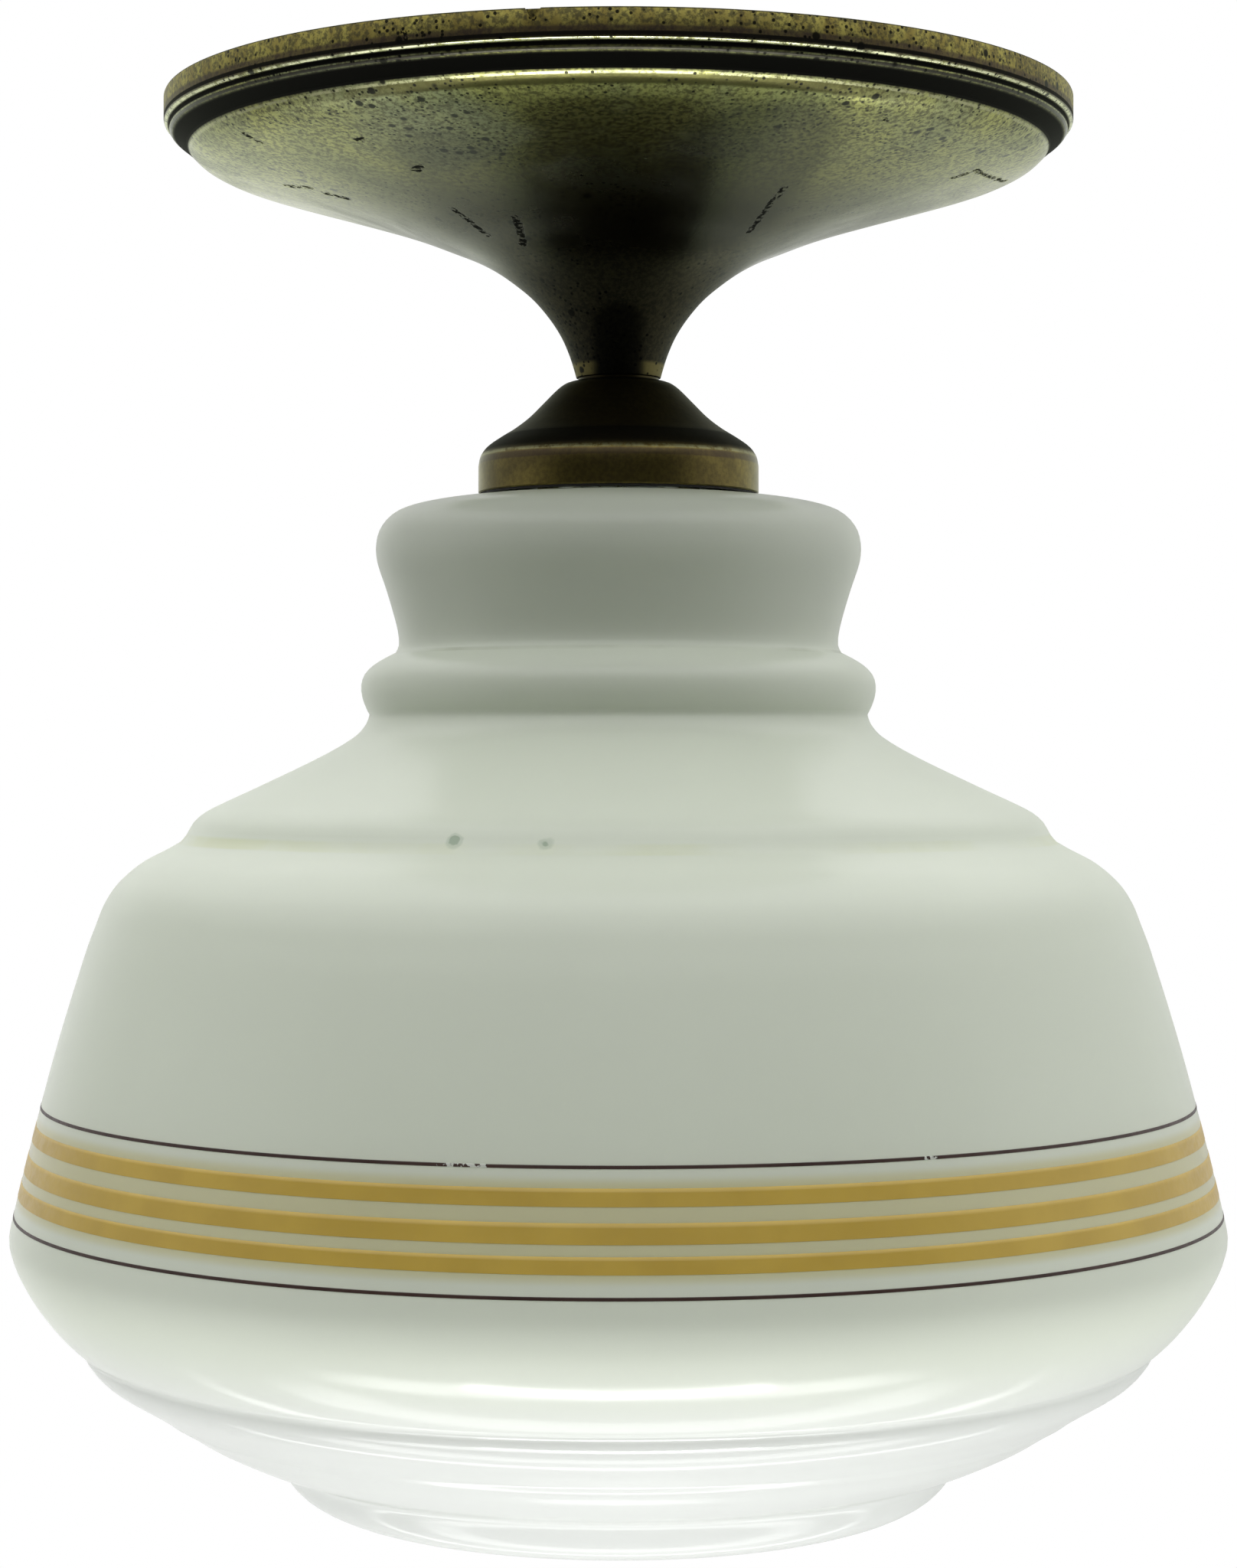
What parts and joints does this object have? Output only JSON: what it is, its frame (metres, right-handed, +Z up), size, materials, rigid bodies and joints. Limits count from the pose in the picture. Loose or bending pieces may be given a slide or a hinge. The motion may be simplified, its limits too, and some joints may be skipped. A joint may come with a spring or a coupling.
{
  "type": "ceiling pendant light",
  "caption": "Semi-flush ceiling light: spun brass canopy, brass cup and a stepped opal schoolhouse globe with painted bands, over a screw lamp.",
  "frame": {"origin": "middle of the canopy's rim, on the ceiling's face", "axes": "+Z up into the ceiling, -Z down the stem; +X along the ceiling strap; the picture looks along +Y"},
  "size_m": [0.25, 0.25, 0.2912],
  "materials": {
    "old_brass": "aged, satin, with dark pits",
    "bright_brass": "satin",
    "steel": "zinc plated",
    "zinc": "galvanised, matte",
    "porcelain": "glazed",
    "rubber": "matte",
    "black_glass": "gloss",
    "copper": "bare",
    "brown_lead": "matte",
    "blue_lead": "matte",
    "green_lead": "matte",
    "opal_glass": "opal, glossy",
    "amber_paint": "fired paint",
    "brown_paint": "fired paint",
    "lamp_glass": "frosted",
    "clear_glass": "clear",
    "filament": "matte"
  },
  "bodies": {
    "fixture": {"canopy": "old_brass", "neck_washer": "bright_brass", "ceiling_strap": "zinc", "stem": "bright_brass", "strap_nut": "steel", "strap_lock_nut": "steel", "lock_washer": "steel", "earth_tab": "bright_brass", "earth_screw": "bright_brass", "terminal_block": "porcelain", "terminal_inserts": "bright_brass", "terminal_screws": "steel", "block_screw": "steel", "lead_live": "brown_lead", "lead_neutral": "blue_lead", "lead_earth": "green_lead", "cup": "old_brass", "cup_nut": "steel", "cup_gasket": "rubber", "distance_tube": "steel", "spring_hub": "steel", "hub_nut": "steel", "spring_arms": "steel", "arm_sleeves": "rubber", "holder_cap": "bright_brass", "holder_skirt": "porcelain", "holder_insulator": "porcelain", "screw_shell": "bright_brass", "centre_contact": "copper", "side_contact": "copper", "holder_screws": "steel", "holder_earth_screw": "steel"},
    "globe": {"globe_mouth": "opal_glass", "globe_neck": "opal_glass", "globe_shoulder": "opal_glass", "globe_shade": "opal_glass", "globe_bowl": "opal_glass", "globe_tier": "opal_glass", "globe_foot": "opal_glass", "amber_band_upper": "amber_paint", "amber_band_middle": "amber_paint", "amber_band_lower": "amber_paint", "dark_line_upper": "brown_paint", "dark_line_lower": "brown_paint"},
    "lamp_contact": {"bulb_contact": "steel"},
    "lamp": {"bulb_glass": "lamp_glass", "bulb_cap": "bright_brass", "bulb_insulator": "black_glass", "bulb_stem": "clear_glass", "bulb_filament": "filament"}
  },
  "joints": [
    {"name": "globe_drop", "type": "slide", "parent": "fixture", "child": "globe", "axis": [0, 0, -1], "range_m": [0, 0.15], "deforming": ["spring_arms", "arm_sleeves"]},
    {"name": "lamp_travel", "type": "slide", "parent": "fixture", "child": "lamp_contact", "axis": [0, 0, -1], "range_m": [0, 0.0254]},
    {"name": "lamp_turn", "type": "hinge", "parent": "lamp_contact", "child": "lamp", "pos_m": [0, 0, -0.13], "axis": [0, 0, -1], "range_deg": [0, 2520]}
  ],
  "couplings": [
    {"joint": "lamp_turn", "follows": "lamp_travel", "rad_per_m": 1731.4}
  ]
}
